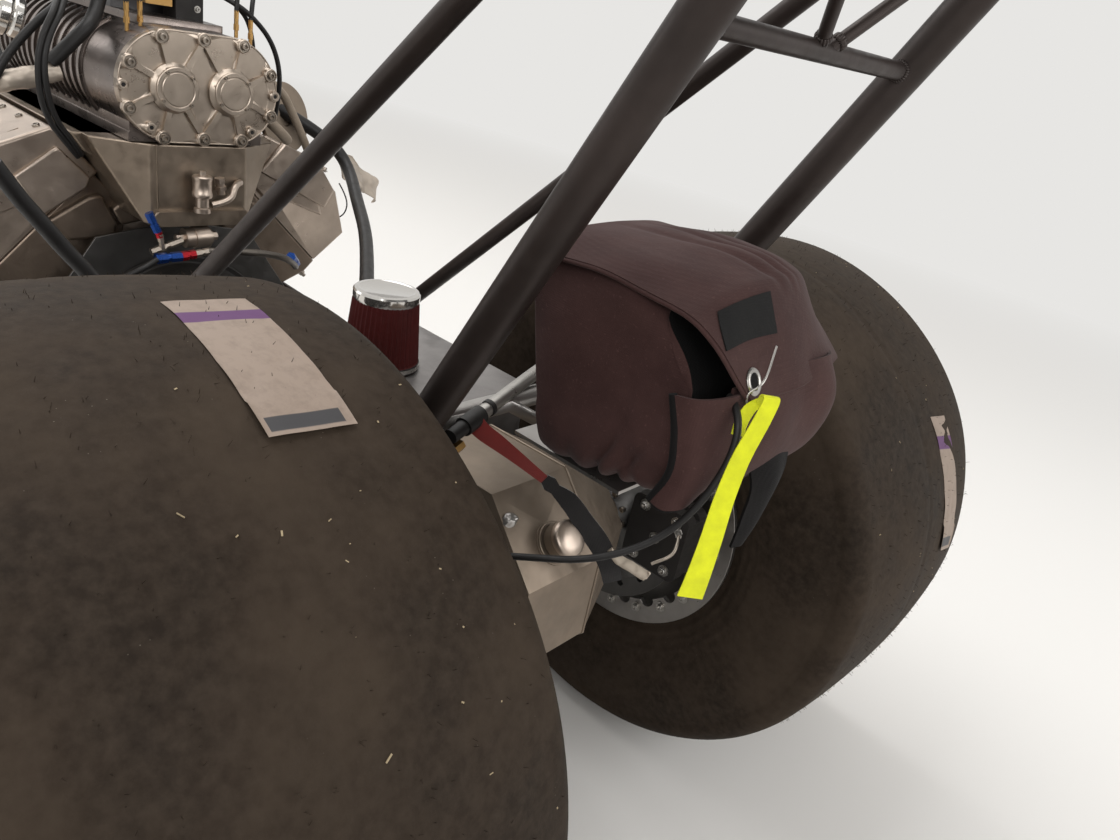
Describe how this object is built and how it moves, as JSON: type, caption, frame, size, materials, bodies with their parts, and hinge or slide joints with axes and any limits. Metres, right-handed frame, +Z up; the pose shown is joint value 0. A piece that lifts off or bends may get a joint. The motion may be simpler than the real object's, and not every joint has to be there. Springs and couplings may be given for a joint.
{
  "type": "rear-engined drag racing car",
  "caption": "Long tube-frame drag racing car with a supercharged engine behind the cockpit, wide rear slicks, a wing on struts and a packed parachute.",
  "frame": {"origin": "on the ground, in the middle of the overall box", "axes": "+X forward along the car, +Y to the driver's left, +Z up; the car stands on its tyres"},
  "size_m": [8.652, 1.4948, 1.9899],
  "materials": {
    "steel_tube": "satin",
    "body_paint": "gloss",
    "wing_skin": "satin",
    "cast_alloy": "satin",
    "blower_cover_alloy": "satin",
    "sheet_alloy": "brushed",
    "rim_alloy": "polished",
    "axle_steel": "satin",
    "machined_steel": "satin",
    "caliper": "gloss",
    "clutch_can": "satin",
    "hat": "satin",
    "filter_gauze": "matte",
    "cable_housing": "matte",
    "belt_rubber": "matte",
    "tyre_rubber": "matte",
    "pack_fabric": "matte",
    "seat_shell": "satin",
    "steering_wheel": "satin"
  },
  "bodies": {
    "chassis": {"axle_housing": "axle_steel", "axle_plates": "axle_steel", "belly_pan": "body_paint", "blower_belt": "belt_rubber", "blower_case": "cast_alloy", "blower_rear_cover": "blower_cover_alloy", "brake_calipers": "caliper", "breather_filter": "filter_gauze", "catch_tank": "sheet_alloy", "clutch_can": "clutch_can", "cockpit_frame": "steel_tube", "cowl": "body_paint", "cross_members": "steel_tube", "cylinder_heads": "cast_alloy", "drive_coupler": "machined_steel", "drive_pulleys": "machined_steel", "driver_seat": "seat_shell", "engine_block": "cast_alloy", "front_axle": "axle_steel", "front_frame": "steel_tube", "front_wing": "wing_skin", "injector_hat": "hat", "intake_manifold": "cast_alloy", "motor_plates": "sheet_alloy", "nose_cone": "body_paint", "oil_pan": "sheet_alloy", "parachute_mount": "steel_tube", "parachute_pack": "pack_fabric", "pedals": "sheet_alloy", "rear_frame": "steel_tube", "rear_wing": "wing_skin", "release_cable": "cable_housing", "roll_cage": "steel_tube", "side_panels": "body_paint", "steering_column": "sheet_alloy", "valve_covers": "blower_cover_alloy", "wing_braces": "steel_tube", "wing_end_plates": "wing_skin", "wing_struts": "steel_tube"},
    "rear_wheels": {"rear_slicks": "tyre_rubber", "rear_rims": "rim_alloy", "rear_axle_shaft": "machined_steel"},
    "front_left_knuckle": {"front_knuckle_left": "axle_steel"},
    "front_right_knuckle": {"front_knuckle_right": "axle_steel"},
    "front_left_wheel": {"front_rim_left": "rim_alloy", "front_tyre_left": "tyre_rubber"},
    "front_right_wheel": {"front_rim_right": "rim_alloy", "front_tyre_right": "tyre_rubber"},
    "tie_rod": {"tie_rod": "axle_steel"},
    "steering_wheel": {"steering_wheel": "steering_wheel"}
  },
  "joints": [
    {"name": "rear_axle_roll", "type": "hinge", "parent": "chassis", "child": "rear_wheels", "pos_m": [-3.426, 0, 0.438], "axis": [0, 1, 0], "continuous": true},
    {"name": "steering_wheel_turn", "type": "hinge", "parent": "chassis", "child": "steering_wheel", "pos_m": [-0.686, 0, 0.64], "axis": [0.9703, 0, -0.2419], "range_deg": [-60, 60]},
    {"name": "front_left_steer", "type": "hinge", "parent": "chassis", "child": "front_left_knuckle", "pos_m": [3.686, 0.425, 0.28], "axis": [0, 0, 1], "range_deg": [-12, 12]},
    {"name": "front_right_steer", "type": "hinge", "parent": "chassis", "child": "front_right_knuckle", "pos_m": [3.686, -0.425, 0.28], "axis": [0, 0, 1], "range_deg": [-12, 12]},
    {"name": "tie_rod_pivot", "type": "hinge", "parent": "front_left_knuckle", "child": "tie_rod", "pos_m": [3.576, 0.425, 0.222], "axis": [0, 0, 1], "range_deg": [-12, 12]},
    {"name": "front_left_roll", "type": "hinge", "parent": "front_left_knuckle", "child": "front_left_wheel", "pos_m": [3.686, 0.48, 0.28], "axis": [0, 1, 0], "continuous": true},
    {"name": "front_right_roll", "type": "hinge", "parent": "front_right_knuckle", "child": "front_right_wheel", "pos_m": [3.686, -0.48, 0.28], "axis": [0, 1, 0], "continuous": true}
  ],
  "couplings": [
    {"joint": "front_left_steer", "follows": "steering_wheel_turn", "ratio": -0.2},
    {"joint": "front_right_steer", "follows": "steering_wheel_turn", "ratio": -0.2},
    {"joint": "tie_rod_pivot", "follows": "steering_wheel_turn", "ratio": 0.2}
  ]
}
